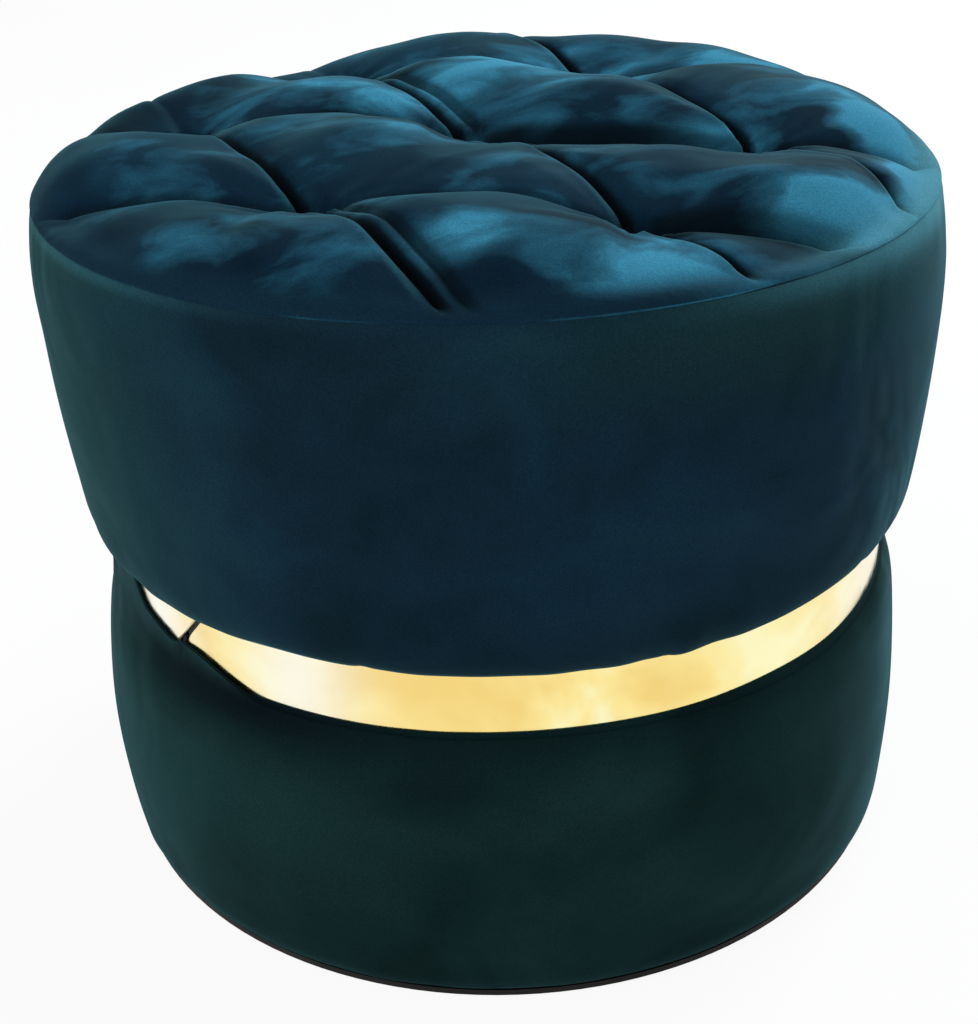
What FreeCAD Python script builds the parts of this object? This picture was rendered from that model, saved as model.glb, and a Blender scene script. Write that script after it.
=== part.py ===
import FreeCAD, Part
import math
import os
from FreeCAD import Vector

# A round upholstered pouffe stool, in millimetres.
# Two drums of plywood and bent hardboard stand on one axis and are bolted together at the waist.
# Foam and velvet pad both drums, a gold metal band hides the stapled velvet edges in the waist,
# and the seat is a deep foam cushion whose velvet is drawn down by covered buttons.
# The origin is on the floor at the middle of the stool, +Z is up and the front faces -Y.

# Wooden frame
frame_radius = 189.0
board_thickness = 16.0
lower_post_length = 119.0
upper_post_length = 115.0
post_width = 34.0
post_depth = 28.0
post_count = 6
post_first_angle = 30.0
wall_thickness = 3.0
wall_joint_gap = 2.0

# Base
pad_radius = 13.0
pad_thickness = 2.5
pad_circle_radius = 160.0
pad_count = 4
base_plate_thickness = 3.0
base_plate_reach = 9.5

# Velvet and foam, as padding outside the wooden frame
velvet_thickness = 1.5
foam_gap = 0.3
hem_width = 22.0
foot_padding = 7.5
foot_round_padding = 12.0
foot_round_height = 8.0
lower_side_bow = 3.6
shoulder_padding = 12.0
shoulder_height = 26.0
waist_edge_padding = 5.5
lip_padding = 7.0
lip_round_padding = 15.5
lip_round_height = 22.0
upper_side_bow = 2.6
rim_padding = 21.0
rim_height = 28.0
seam_padding = 16.5
round_bow = 1.6
tail_height = 13.0

# Seat cushion and its tufts
foam_under_tuft = 24.0
tuft_depth = 28.0
crown_fall = 8.0
seam_drop = 20.5
crown_edge_inset = 29.0
crown_bow = 8.0
tuft_row_pitch = 135.0
tuft_row_angle = -11.0
tuft_slant_pitch = 145.0
tuft_slant_angle = -62.0
tuft_pattern_offset = -10.0
fold_depth = 11.0
fold_reach = 75.0
rim_fold_depth = 9.0
rim_fold_reach = 52.0
rim_end_reach = 40.0
rim_end_overrun = 12.0
fold_shoulder_rise = 4.0
cutter_headroom = 10.0

# Buttons and twine
button_radius = 9.0
button_edge = 3.0
button_dome = 3.0
button_seat_clearance = 1.0
button_seat_sink = 2.0
twine_radius = 1.0
twine_hole_clearance = 0.5
toggle_radius = 9.0
toggle_thickness = 3.0
knot_radius = 2.6

# Waist band
band_thickness = 1.0
band_edge_gap = 0.5
band_joint_gap = 3.0
band_joint_angle = -47.0
tape_thickness = 0.5
tape_gap = 0.2

# Fasteners
screw_length = 45.0
screw_radius = 2.0
screw_head_radius = 4.0
screw_head_height = 3.0
screw_tip_length = 5.0
screw_clearance = 0.2
plate_screw_length = 18.0
plate_screw_circle_radius = 130.0
plate_screw_count = 6
bolt_radius = 3.0
bolt_clearance = 0.3
bolt_head_radius = 5.8
bolt_head_height = 4.0
bolt_spare_length = 3.0
bolt_circle_radius = 110.0
bolt_count = 4
washer_radius = 9.0
washer_thickness = 1.6
nut_radius = 5.8
nut_height = 5.0
staple_width = 10.0
staple_wire = 0.9
staple_leg = 8.0
staple_sink = 0.1
staple_count = 24

# Heights up the stool
plate_bottom = pad_thickness
hem_bottom = plate_bottom + base_plate_thickness
base_bottom = hem_bottom + velvet_thickness
base_top = base_bottom + board_thickness
lid_bottom = base_top + lower_post_length
joint_height = lid_bottom + board_thickness
floor_top = joint_height + board_thickness
seat_bottom = floor_top + upper_post_length
seat_top = seat_bottom + board_thickness
tuft_height = seat_top + foam_under_tuft
crown_top = tuft_height + tuft_depth
crown_edge_height = crown_top - crown_fall
seam_height = crown_edge_height - seam_drop
button_seat = tuft_height - button_seat_sink

# Radii out from the axis
wall_inner_radius = frame_radius - wall_thickness
post_axis_radius = wall_inner_radius - post_depth / 2
tail_radius = frame_radius + velvet_thickness
tape_inner_radius = tail_radius + tape_gap
tape_radius = tape_inner_radius + tape_thickness
band_radius = tape_radius + band_thickness
base_plate_radius = frame_radius + base_plate_reach
seam_radius = frame_radius + seam_padding
crown_edge_radius = seam_radius - crown_edge_inset
foam_inset = velvet_thickness + foam_gap


def spaced(count, radius, first=0.0):
    """Places evenly spaced on a circle, with the angle of each from +X."""
    places = []
    for index in range(count):
        angle = first + 360.0 * index / count
        turn = math.radians(angle)
        places.append((radius * math.cos(turn), radius * math.sin(turn), angle))
    return places


def around(shape, angle):
    """A copy of a shape, turned about the stool's axis."""
    copy = shape.copy()
    copy.rotate(Vector(0, 0, 0), Vector(0, 0, 1), angle)
    return copy


def disc(radius, bottom, top, x=0.0, y=0.0):
    return Part.makeCylinder(radius, top - bottom, Vector(x, y, bottom))


def tube(outer, inner, bottom, top):
    return disc(outer, bottom, top).cut(disc(inner, bottom, top))


def hexagon(radius, bottom, top, x, y):
    corners = []
    for corner in range(7):
        turn = math.radians(60.0 * corner)
        corners.append(Vector(x + radius * math.cos(turn), y + radius * math.sin(turn), bottom))
    return Part.Face(Part.makePolygon(corners)).extrude(Vector(0, 0, top - bottom))


def turned(start, steps):
    """Revolve a closed outline of (radius, height) points about the stool's axis.
    A step is a point, with a bow after it where the line to it swells outward as an arc."""
    edges = []
    here = start
    for point, bow in steps + [(start, 0.0)]:
        begin = Vector(here[0], 0, here[1])
        end = Vector(point[0], 0, point[1])
        if bow:
            across = end - begin
            outward = Vector(across.z, 0, -across.x).normalize()
            edges.append(Part.Arc(begin, (begin + end) * 0.5 + outward * bow, end).toShape())
        else:
            edges.append(Part.makeLine(begin, end))
        here = point
    return Part.Face(Part.Wire(edges)).revolve(Vector(0, 0, 0), Vector(0, 0, 1), 360)


def lower_side(inset):
    """Steps up the padded side of the lower drum, drawn in from the velvet's face by an inset."""
    radius = frame_radius - inset
    return [
        ((radius + foot_padding, hem_bottom + inset), 0.0),
        ((radius + foot_round_padding, hem_bottom + foot_round_height), round_bow),
        ((radius + shoulder_padding, lid_bottom - shoulder_height), lower_side_bow),
        ((radius + waist_edge_padding, lid_bottom - inset), round_bow),
    ]


def upper_side(inset):
    """Steps up the padded side of the upper drum, from its lip at the waist to the sewn rim."""
    radius = frame_radius - inset
    return [
        ((radius + lip_padding, floor_top + inset), 0.0),
        ((radius + lip_round_padding, floor_top + lip_round_height), round_bow),
        ((radius + rim_padding, seam_height - rim_height), upper_side_bow),
        ((radius + seam_padding, seam_height), round_bow),
    ]


def crown(inset):
    """Steps over the seat, from the sewn rim to the middle of the crown."""
    return [
        ((crown_edge_radius, crown_edge_height - inset), crown_bow),
        ((0.0, crown_top - inset), 0.0),
    ]


def crown_height(place):
    """Height of the smooth crown over a place on the plan, before the tufts draw it down."""
    return crown_top - crown_fall * place.Length / crown_edge_radius


def level_vector(length, angle):
    turn = math.radians(angle)
    return Vector(length * math.cos(turn), length * math.sin(turn), 0)


def tuft_rows():
    """Seven tufts on a slanted grid: a row of three, with a row of two behind and in front."""
    row = level_vector(tuft_row_pitch, tuft_row_angle)
    slant = level_vector(tuft_slant_pitch, tuft_slant_angle)
    middle = Vector(tuft_pattern_offset, 0, 0)
    back = [middle - slant, middle - slant + row]
    centre = [middle - row, middle, middle + row]
    front = [middle + slant - row, middle + slant]
    return back, centre, front


def tufts():
    """Every tuft in one list."""
    return sum(tuft_rows(), [])


def fold_lines():
    """The tufts that each fold runs through: three rows, and three slanted lines across them."""
    back, centre, front = tuft_rows()
    rows = [back, centre, front]
    slants = [[centre[0], front[0]], [back[0], centre[1], front[1]], [back[1], centre[2]]]
    return rows + slants


def rim_crossing(point, along):
    """Where a fold line that leaves a point runs out past the rim of the seat."""
    reach = seam_radius + rim_end_overrun
    ahead = point.dot(along)
    return point + along * (math.sqrt(ahead ** 2 + reach ** 2 - point.dot(point)) - ahead)


def fold_section(place, along, depth, reach, inset):
    """One section of the space over a fold: two swelling flanks that meet in a sharp valley."""
    across = Vector(-along.y, along.x, 0)
    drop = depth + fold_shoulder_rise
    flank_radius = (reach ** 2 + drop ** 2) / (2 * drop)
    flank_centre = crown_height(place) + fold_shoulder_rise - flank_radius
    radius = flank_radius - inset

    def at(sideways, height):
        return place + across * sideways + Vector(0, 0, height)

    def flank(side, share):
        """A point on a flank, from its shoulder at share 0 to the valley at share 1."""
        turn = share * math.asin(reach / radius)
        return at(side * (reach - radius * math.sin(turn)), flank_centre + radius * math.cos(turn))

    top = crown_top + cutter_headroom
    return Part.Wire([
        Part.Arc(flank(-1, 0), flank(-1, 0.5), flank(-1, 1)).toShape(),
        Part.Arc(flank(1, 1), flank(1, 0.5), flank(1, 0)).toShape(),
        Part.makeLine(flank(1, 0), at(reach, top)),
        Part.makeLine(at(reach, top), at(-reach, top)),
        Part.makeLine(at(-reach, top), flank(-1, 0)),
    ])


def fold_space(line, inset):
    """The space over one fold, lofted from rim to rim through its line of tufts."""
    along = (line[-1] - line[0]).normalize()
    first_end = rim_crossing(line[0], along * -1)
    last_end = rim_crossing(line[-1], along)
    stations = [
        (first_end, rim_fold_depth, rim_end_reach),
        ((first_end + line[0]) * 0.5, rim_fold_depth, rim_fold_reach),
    ]
    for index, tuft in enumerate(line):
        if index:
            stations.append(((line[index - 1] + tuft) * 0.5, fold_depth, fold_reach))
        stations.append((tuft, crown_height(tuft) - tuft_height, fold_reach))
    stations.append(((line[-1] + last_end) * 0.5, rim_fold_depth, rim_fold_reach))
    stations.append((last_end, rim_fold_depth, rim_end_reach))
    sections = [fold_section(place, along, depth, reach, inset) for place, depth, reach in stations]
    return Part.makeLoft(sections, True, False)


def tufted(body, inset):
    """Draw the folds and the button seats into a crowned body."""
    for line in fold_lines():
        body = body.cut(fold_space(line, inset))
    seat_radius = button_radius + button_seat_clearance + inset
    seat = button_seat - inset
    return body.cut([disc(seat_radius, seat, crown_top + cutter_headroom, tuft.x, tuft.y) for tuft in tufts()])


def twine_holes():
    return [disc(twine_radius + twine_hole_clearance, 0, crown_top, tuft.x, tuft.y) for tuft in tufts()]


def wood_screw(x, y, head, up, length, grow=0.0):
    """A countersunk screw with its head's face at a height; grown, it is the hole for one."""
    tip = head + length * up
    neck = head + screw_head_height * up
    shank_end = tip - screw_tip_length * up
    steps = [
        ((screw_head_radius + grow, head), 0.0),
        ((screw_radius + grow, neck), 0.0),
        ((screw_radius + grow, shank_end), 0.0),
        ((0.0, tip + grow * up), 0.0),
    ]
    screw = turned((0.0, head), steps)
    screw.translate(Vector(x, y, 0))
    return screw


def post_screws(head, up, grow=0.0):
    """One screw on the axis of each post."""
    return [
        wood_screw(x, y, head, up, screw_length, grow)
        for x, y, angle in spaced(post_count, post_axis_radius, post_first_angle)
    ]


def plate_screws(grow=0.0):
    places = spaced(plate_screw_count, plate_screw_circle_radius, 180.0 / plate_screw_count)
    return [wood_screw(x, y, plate_bottom, 1, plate_screw_length, grow) for x, y, angle in places]


def staple():
    """A staple with its crown against a face at x = 0 and its legs along -X."""
    half = staple_width / 2
    crown_bar = Part.makeBox(staple_wire, staple_width, staple_wire, Vector(-staple_wire, -half, 0))
    near_leg = Part.makeBox(staple_leg, staple_wire, staple_wire, Vector(-staple_leg, -half, 0))
    far_leg = Part.makeBox(staple_leg, staple_wire, staple_wire, Vector(-staple_leg, half - staple_wire, 0))
    return crown_bar.fuse([near_leg, far_leg]).removeSplitter()


def waist_staples(height):
    """A ring of staples through a velvet tail into the edge of a waist board."""
    face_radius = math.sqrt(tail_radius ** 2 - (staple_width / 2) ** 2) - staple_sink
    one = staple()
    one.translate(Vector(face_radius, 0, height - staple_wire / 2))
    return [around(one, angle) for x, y, angle in spaced(staple_count, face_radius)]


def hem_staples():
    """A ring of staples up through the velvet hem into the base board."""
    one = staple()
    one.rotate(Vector(0, 0, 0), Vector(0, 1, 0), 90)
    one.translate(Vector(frame_radius - hem_width / 2, 0, hem_bottom + staple_sink))
    return [around(one, angle) for x, y, angle in spaced(staple_count, frame_radius)]


def posts(bottom, top, screws):
    """Upright battens behind the drum wall, with their outer faces rounded to fit it."""
    bar = Part.makeBox(2 * post_depth, post_width, top - bottom,
                       Vector(wall_inner_radius - post_depth, -post_width / 2, bottom))
    bar = bar.common(disc(wall_inner_radius, bottom, top))
    places = spaced(post_count, wall_inner_radius, post_first_angle)
    return [around(bar, angle).cut(screws) for x, y, angle in places]


def wall(bottom, top):
    """A strip of bent hardboard whose ends stop short of each other at the back."""
    joint = Part.makeBox(wall_joint_gap, frame_radius, top - bottom, Vector(-wall_joint_gap / 2, 0, bottom))
    return tube(frame_radius, wall_inner_radius, bottom, top).cut(joint)


def waist_ring(outer, inner, bottom, top):
    """A strip round the waist with its butt joint at the front left."""
    joint = Part.makeBox(2 * outer, band_joint_gap, top - bottom, Vector(0, -band_joint_gap / 2, bottom))
    return tube(outer, inner, bottom, top).cut(around(joint, band_joint_angle - 90.0))


def lower_cover(staples):
    """Velvet of the lower drum, stapled under the base and round the waist."""
    tail_top = lid_bottom + tail_height
    outer = turned((0.0, hem_bottom), lower_side(0.0) + [
        ((tail_radius, lid_bottom), 0.0),
        ((tail_radius, tail_top), 0.0),
        ((0.0, tail_top), 0.0),
    ])
    inner = turned((0.0, base_bottom), lower_side(velvet_thickness) + [
        ((frame_radius, lid_bottom - velvet_thickness), 0.0),
        ((frame_radius, tail_top), 0.0),
        ((0.0, tail_top), 0.0),
    ])
    opening = disc(frame_radius - hem_width, hem_bottom, base_top)
    return outer.cut([inner, opening]).cut(staples)


def upper_cover(staples):
    """Velvet round the upper drum, stapled at the waist and sewn to the seat at the rim."""
    tail_bottom = floor_top - tail_height
    outer = turned((0.0, tail_bottom), [
        ((tail_radius, tail_bottom), 0.0),
        ((tail_radius, floor_top), 0.0),
    ] + upper_side(0.0) + [((0.0, seam_height), 0.0)])
    inner = turned((0.0, tail_bottom), [
        ((frame_radius, tail_bottom), 0.0),
        ((frame_radius, floor_top + velvet_thickness), 0.0),
    ] + upper_side(velvet_thickness) + [((0.0, seam_height), 0.0)])
    return outer.cut(inner).cut(staples)


def seat_cover():
    """Velvet over the seat, drawn down at the tufts and sewn to the side at the rim."""
    skins = []
    for inset in (0.0, velvet_thickness):
        rim = (seam_radius - inset, seam_height)
        skins.append(tufted(turned((0.0, seam_height), [(rim, 0.0)] + crown(inset)), inset))
    return skins[0].cut(skins[1]).cut(twine_holes())


def lower_foam():
    body = turned((0.0, hem_bottom + foam_inset), lower_side(foam_inset) + [((0.0, lid_bottom - foam_inset), 0.0)])
    return body.cut(disc(frame_radius, 0, floor_top))


def padded_drum():
    """The whole foam of the upper drum and seat, before it is parted at the seat board."""
    body = turned((0.0, floor_top + foam_inset), upper_side(foam_inset) + crown(foam_inset))
    return tufted(body, foam_inset)


def upper_foam(drum):
    """Foam wrapped round the upper drum, level with the top of the seat board."""
    return drum.common(tube(crown_top, frame_radius, 0, seat_top))


def seat_foam(drum):
    """Foam block of the seat, resting on the seat board and on the foam round the drum."""
    return drum.cut(disc(crown_top, 0, seat_top)).cut(twine_holes())


def buttons():
    """Velvet-covered buttons with a low domed top."""
    edge = button_seat + button_edge
    dome_radius = (button_radius ** 2 + button_dome ** 2) / (2 * button_dome)
    dome_centre = Vector(0, 0, edge + button_dome - dome_radius)
    dome = Part.makeSphere(dome_radius, dome_centre)
    one = dome.common(disc(button_radius, button_seat, edge + button_dome))
    return [one.translated(tuft) for tuft in tufts()]


def twines():
    """Twine from each button to its knot under the toggle."""
    knot = seat_bottom - toggle_thickness
    strands = []
    for tuft in tufts():
        strand = disc(twine_radius, knot - knot_radius, button_seat, tuft.x, tuft.y)
        ball = Part.makeSphere(knot_radius, Vector(tuft.x, tuft.y, knot - knot_radius))
        strands.append(strand.fuse(ball).removeSplitter())
    return strands


def toggles():
    """Discs under the seat board that the twines pull against."""
    bottom = seat_bottom - toggle_thickness
    return [disc(toggle_radius, bottom, seat_bottom, tuft.x, tuft.y).cut(twine_holes()) for tuft in tufts()]


def waist_fasteners():
    """Bolts down through both waist boards, with a washer at each end and a nut below."""
    bolts, washers, nuts = [], [], []
    head = floor_top + washer_thickness
    nut_top = lid_bottom - washer_thickness
    nut_bottom = nut_top - nut_height
    for x, y, angle in spaced(bolt_count, bolt_circle_radius, 180.0 / bolt_count):
        shank = disc(bolt_radius, nut_bottom - bolt_spare_length, head, x, y)
        bolts.append(shank.fuse(hexagon(bolt_head_radius, head, head + bolt_head_height, x, y)).removeSplitter())
        hole = disc(bolt_radius + bolt_clearance, 0, crown_top, x, y)
        washers.append(disc(washer_radius, floor_top, head, x, y).cut(hole))
        washers.append(disc(washer_radius, nut_top, lid_bottom, x, y).cut(hole))
        nuts.append(hexagon(nut_radius, nut_bottom, nut_top, x, y).cut(hole))
    return bolts, washers, nuts


def bolt_holes():
    places = spaced(bolt_count, bolt_circle_radius, 180.0 / bolt_count)
    return [disc(bolt_radius + bolt_clearance, 0, crown_top, x, y) for x, y, angle in places]


def floor_pads():
    places = spaced(pad_count, pad_circle_radius, 180.0 / pad_count)
    return [disc(pad_radius, 0, pad_thickness, x, y) for x, y, angle in places]


def assembly():
    """Every piece of the stool by its name, as one solid or a list of like solids."""
    base_screw_holes = post_screws(base_bottom, 1, screw_clearance)
    lid_screw_holes = post_screws(joint_height, -1, screw_clearance)
    floor_screw_holes = post_screws(joint_height, 1, screw_clearance)
    seat_screw_holes = post_screws(seat_top, -1, screw_clearance)
    under_staples = hem_staples()
    lid_staples = waist_staples(lid_bottom + tail_height / 2)
    floor_staples = waist_staples(floor_top - tail_height / 2)
    drum = padded_drum()
    bolts, washers, nuts = waist_fasteners()
    band_bottom = lid_bottom + band_edge_gap
    band_top = floor_top - band_edge_gap

    pieces = {
        "floor_pads": floor_pads(),
        "base_plate": disc(base_plate_radius, plate_bottom, hem_bottom).cut(plate_screws(screw_clearance)),
        "base_plate_screws": plate_screws(),
        "base_board": disc(frame_radius, base_bottom, base_top).cut(
            base_screw_holes + plate_screws(screw_clearance) + under_staples),
        "base_board_screws": post_screws(base_bottom, 1),
        "lower_wall": wall(base_top, lid_bottom),
        "lid_board": disc(frame_radius, lid_bottom, joint_height).cut(
            lid_screw_holes + bolt_holes() + lid_staples),
        "lid_board_screws": post_screws(joint_height, -1),
        "lower_foam": lower_foam(),
        "lower_cover": lower_cover(under_staples + lid_staples),
        "lower_hem_staples": under_staples,
        "lower_waist_staples": lid_staples,
        "waist_bolts": bolts,
        "waist_washers": washers,
        "waist_nuts": nuts,
        "floor_board": disc(frame_radius, joint_height, floor_top).cut(
            floor_screw_holes + bolt_holes() + floor_staples),
        "floor_board_screws": post_screws(joint_height, 1),
        "upper_wall": wall(floor_top, seat_bottom),
        "seat_board": disc(frame_radius, seat_bottom, seat_top).cut(seat_screw_holes + twine_holes()),
        "seat_board_screws": post_screws(seat_top, -1),
        "upper_foam": upper_foam(drum),
        "upper_cover": upper_cover(floor_staples),
        "upper_waist_staples": floor_staples,
        "band_tape": waist_ring(tape_radius, tape_inner_radius, band_bottom, band_top),
        "waist_band": waist_ring(band_radius, tape_radius, band_bottom, band_top),
        "seat_foam": seat_foam(drum),
        "seat_cover": seat_cover(),
        "tuft_buttons": buttons(),
        "tuft_twines": twines(),
        "twine_toggles": toggles(),
    }
    for number, post in enumerate(posts(base_top, lid_bottom, base_screw_holes + lid_screw_holes), 1):
        pieces[f"lower_post_{number}"] = post
    for number, post in enumerate(posts(floor_top, seat_bottom, floor_screw_holes + seat_screw_holes), 1):
        pieces[f"upper_post_{number}"] = post
    return pieces


os.makedirs("parts", exist_ok=True)
for name, shape in assembly().items():
    solid = Part.makeCompound(shape) if isinstance(shape, list) else shape
    solid.exportStep(f"parts/{name}.step")
    print(name, len(solid.Solids), "solids", round(solid.Volume / 1000.0, 2), "cm3", "valid", solid.isValid())
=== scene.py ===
import math

import bmesh
import bpy
import numpy as np
from mathutils import Euler, Matrix, Vector, geometry


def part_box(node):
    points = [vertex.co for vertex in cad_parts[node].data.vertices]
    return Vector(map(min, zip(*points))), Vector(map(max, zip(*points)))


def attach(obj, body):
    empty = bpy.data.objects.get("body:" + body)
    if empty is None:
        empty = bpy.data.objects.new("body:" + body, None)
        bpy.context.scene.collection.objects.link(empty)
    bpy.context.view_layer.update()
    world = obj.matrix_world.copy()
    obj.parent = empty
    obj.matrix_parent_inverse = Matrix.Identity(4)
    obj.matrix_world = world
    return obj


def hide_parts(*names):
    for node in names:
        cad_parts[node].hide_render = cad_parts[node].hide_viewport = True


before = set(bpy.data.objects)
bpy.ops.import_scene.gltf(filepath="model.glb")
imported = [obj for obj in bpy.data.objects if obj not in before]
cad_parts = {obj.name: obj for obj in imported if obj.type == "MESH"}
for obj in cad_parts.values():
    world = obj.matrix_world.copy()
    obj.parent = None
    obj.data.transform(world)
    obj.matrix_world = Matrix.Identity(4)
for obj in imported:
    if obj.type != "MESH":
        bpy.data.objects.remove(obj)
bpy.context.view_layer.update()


# Floor pads and base plate
# Four felt discs are stuck under a round of fibreboard, painted matt black, that closes the stool from
# below. The edge of the board is the thin black line along the bottom of the lower drum.
def start_finish(name):
    """A new material, its nodes, its shader and the coordinates of the piece, in metres."""
    material = bpy.data.materials.new(name)
    material.use_nodes = True
    tree = material.node_tree
    shader = tree.nodes["Principled BSDF"]
    place = tree.nodes.new("ShaderNodeTexCoord").outputs["Object"]
    return material, tree, shader, place


def clouds(tree, place, size, stretch=(1.0, 1.0, 1.0), detail=3.0, distortion=0.0):
    """Soft noise from 0 to 1 with blotches of a size in millimetres, longer where stretch is over 1."""
    mapping = tree.nodes.new("ShaderNodeMapping")
    mapping.inputs["Scale"].default_value = [1.0 / s for s in stretch]
    tree.links.new(place, mapping.inputs["Vector"])
    noise = tree.nodes.new("ShaderNodeTexNoise")
    noise.inputs["Scale"].default_value = 1000.0 / size
    noise.inputs["Detail"].default_value = detail
    noise.inputs["Distortion"].default_value = distortion
    tree.links.new(mapping.outputs["Vector"], noise.inputs["Vector"])
    return noise.outputs["Fac"]


def tones(tree, value, *stops):
    """Colours picked along a value: each stop is a place from 0 to 1 and a colour."""
    ramp = tree.nodes.new("ShaderNodeValToRGB")
    band = ramp.color_ramp
    while len(band.elements) < len(stops):
        band.elements.new(0.5)
    for element, (position, colour) in zip(band.elements, stops):
        element.position = position
        element.color = (*colour, 1.0)
    tree.links.new(value, ramp.inputs["Fac"])
    return ramp.outputs["Color"]


def grey(level):
    return (level, level, level)


def relief(tree, height, depth, under=None):
    """Fine surface relief of a depth in millimetres, laid over another relief if there is one."""
    bump = tree.nodes.new("ShaderNodeBump")
    bump.inputs["Distance"].default_value = depth / 1000.0
    tree.links.new(height, bump.inputs["Height"])
    if under is not None:
        tree.links.new(under, bump.inputs["Normal"])
    return bump.outputs["Normal"]


def dress(material, slot, *names):
    """Give CAD pieces their finish."""
    for name in names:
        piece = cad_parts[name]
        piece.data.materials.clear()
        piece.data.materials.append(material)


def felt_finish():
    material, tree, shader, place = start_finish("black_felt")
    fibres = clouds(tree, place, 1.2, detail=6.0, distortion=0.8)
    colour = tones(tree, fibres, (0.3, grey(0.008)), (0.7, grey(0.03)))
    tree.links.new(colour, shader.inputs["Base Color"])
    tree.links.new(relief(tree, fibres, 0.5), shader.inputs["Normal"])
    shader.inputs["Roughness"].default_value = 0.95
    shader.inputs["Sheen Weight"].default_value = 0.3
    return material


def black_paint_finish():
    material, tree, shader, place = start_finish("black_board")
    scuffs = clouds(tree, place, 35.0, detail=6.0, distortion=0.6)
    rolled = clouds(tree, place, 1.6, detail=2.0)
    colour = tones(tree, scuffs, (0.35, grey(0.004)), (0.72, grey(0.009)), (0.8, grey(0.016)))
    tree.links.new(colour, shader.inputs["Base Color"])
    tree.links.new(tones(tree, scuffs, (0.3, grey(0.5)), (0.75, grey(0.7))), shader.inputs["Roughness"])
    tree.links.new(relief(tree, rolled, 0.08), shader.inputs["Normal"])
    shader.inputs["Specular IOR Level"].default_value = 0.15
    return material


dress(felt_finish(), "black_felt", "floor_pads")
dress(black_paint_finish(), "black_board", "base_plate")


# Wooden frame
# Four round plywood boards are spaced by pine battens, with bent hardboard skins round them. Each drum
# is a cage of two boards and six battens, and none of it shows on the finished stool.
def long_grain(tree, place, along):
    """Wood grain that runs along one axis, with fine pores in it."""
    stretch = [1.0, 1.0, 1.0]
    stretch[along] = 14.0
    return clouds(tree, place, 7.0, stretch, detail=5.0, distortion=0.5)


def facing_up(tree):
    """1 on level faces and 0 on upright ones."""
    normal = tree.nodes.new("ShaderNodeNewGeometry").outputs["Normal"]
    parts = tree.nodes.new("ShaderNodeSeparateXYZ")
    tree.links.new(normal, parts.inputs["Vector"])
    size = tree.nodes.new("ShaderNodeMath")
    size.operation = "ABSOLUTE"
    tree.links.new(parts.outputs["Z"], size.inputs[0])
    return size.outputs["Value"]


def blend_colours(tree, share, first, second, kind="MIX"):
    """Two colours, or colour outputs, mixed by a share."""
    mix = tree.nodes.new("ShaderNodeMix")
    mix.data_type = "RGBA"
    mix.blend_type = kind
    sockets = {"Factor": share, "A": first, "B": second}
    for name, value in sockets.items():
        socket = [s for s in mix.inputs if s.name == name and s.enabled][0]
        if isinstance(value, bpy.types.NodeSocket):
            tree.links.new(value, socket)
        elif name == "Factor":
            socket.default_value = value
        else:
            socket.default_value = (*value, 1.0)
    return [s for s in mix.outputs if s.enabled][0]


def plywood_finish():
    """Birch veneer on the faces, and the plies as thin stripes on the edges."""
    material, tree, shader, place = start_finish("plywood")
    grain = long_grain(tree, place, 0)
    face = tones(tree, grain, (0.3, (0.42, 0.27, 0.15)), (0.65, (0.68, 0.5, 0.32)))
    plies = tree.nodes.new("ShaderNodeTexWave")
    plies.bands_direction = "Z"
    plies.inputs["Scale"].default_value = 70.0
    plies.inputs["Distortion"].default_value = 0.6
    tree.links.new(place, plies.inputs["Vector"])
    edge = tones(tree, plies.outputs["Fac"], (0.35, (0.3, 0.18, 0.09)), (0.6, (0.62, 0.44, 0.27)))
    colour = blend_colours(tree, facing_up(tree), edge, face)
    tree.links.new(colour, shader.inputs["Base Color"])
    tree.links.new(relief(tree, grain, 0.15), shader.inputs["Normal"])
    shader.inputs["Roughness"].default_value = 0.7
    return material


def pine_finish():
    """Sawn pine battens with upright grain."""
    material, tree, shader, place = start_finish("softwood")
    grain = long_grain(tree, place, 2)
    colour = tones(
        tree, grain, (0.3, (0.48, 0.3, 0.15)), (0.55, (0.72, 0.54, 0.33)), (0.8, (0.8, 0.64, 0.42)))
    tree.links.new(colour, shader.inputs["Base Color"])
    tree.links.new(relief(tree, grain, 0.3), shader.inputs["Normal"])
    shader.inputs["Roughness"].default_value = 0.75
    return material


def hardboard_finish():
    """Brown pressed fibreboard, smooth, with darker flecks."""
    material, tree, shader, place = start_finish("hardboard")
    flecks = clouds(tree, place, 2.5, detail=6.0)
    colour = tones(tree, flecks, (0.35, (0.16, 0.09, 0.045)), (0.65, (0.36, 0.23, 0.13)))
    tree.links.new(colour, shader.inputs["Base Color"])
    tree.links.new(relief(tree, flecks, 0.1), shader.inputs["Normal"])
    shader.inputs["Roughness"].default_value = 0.55
    return material


posts = [f"{drum}_post_{number}" for drum in ("lower", "upper") for number in range(1, 7)]
dress(plywood_finish(), "plywood", "base_board", "lid_board", "floor_board", "seat_board")
dress(hardboard_finish(), "hardboard", "lower_wall", "upper_wall")
dress(pine_finish(), "softwood", *posts)


# Screws, staples and bolts
# Zinc-plated steel: wood screws through the boards into the battens, four bolts with washers and nuts
# that hold the two drums together, and staples that hold the velvet's edges to the boards.
def zinc_finish():
    material, tree, shader, place = start_finish("zinc_steel")
    spangle = clouds(tree, place, 3.0, detail=4.0, distortion=0.4)
    colour = tones(tree, spangle, (0.3, grey(0.5)), (0.7, grey(0.67)))
    tree.links.new(colour, shader.inputs["Base Color"])
    tree.links.new(tones(tree, spangle, (0.3, grey(0.28)), (0.7, grey(0.46))), shader.inputs["Roughness"])
    shader.inputs["Metallic"].default_value = 1.0
    return material


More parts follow.
